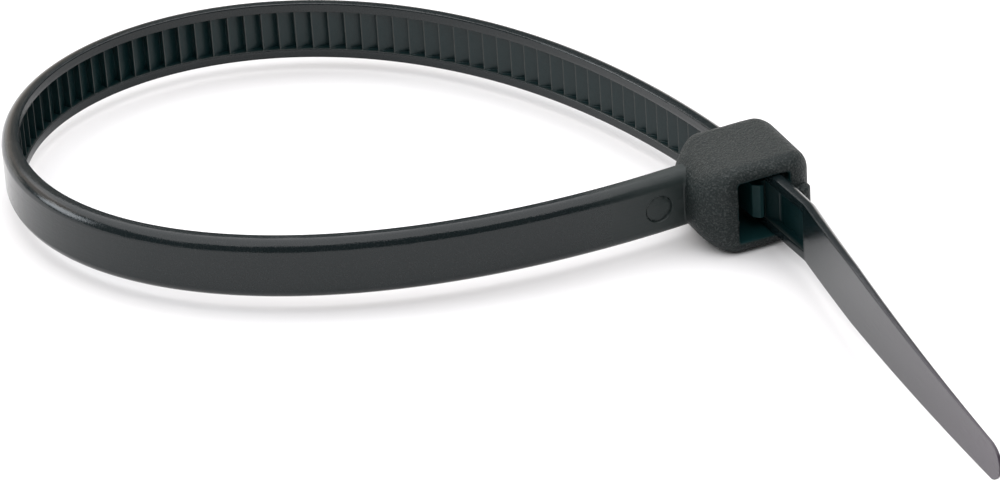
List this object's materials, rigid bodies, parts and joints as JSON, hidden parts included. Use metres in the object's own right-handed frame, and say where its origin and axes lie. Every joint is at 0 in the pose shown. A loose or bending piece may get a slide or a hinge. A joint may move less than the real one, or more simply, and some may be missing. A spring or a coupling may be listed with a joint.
{
  "type": "cable tie",
  "caption": "One-piece nylon cable tie closed into a wide teardrop loop, with a toothed strap, a chunky rounded locking head and a kinked, tapered tail.",
  "frame": {"origin": "middle of the box in X and Y, at the height of the head's lower side face, on which the tie rests", "axes": "+Z across the strap's width, up from the surface it lies on; +Y from the tail's tip towards the back of the loop, the longest way; +X from the loop's far end towards the head and the tail"},
  "size_m": [0.111, 0.1134, 0.0112],
  "materials": {
    "nylon": "black moulded nylon, satin strap with a finely textured matt head"
  },
  "bodies": {
    "root": {"cable_tie": "nylon"}
  },
  "joints": []
}
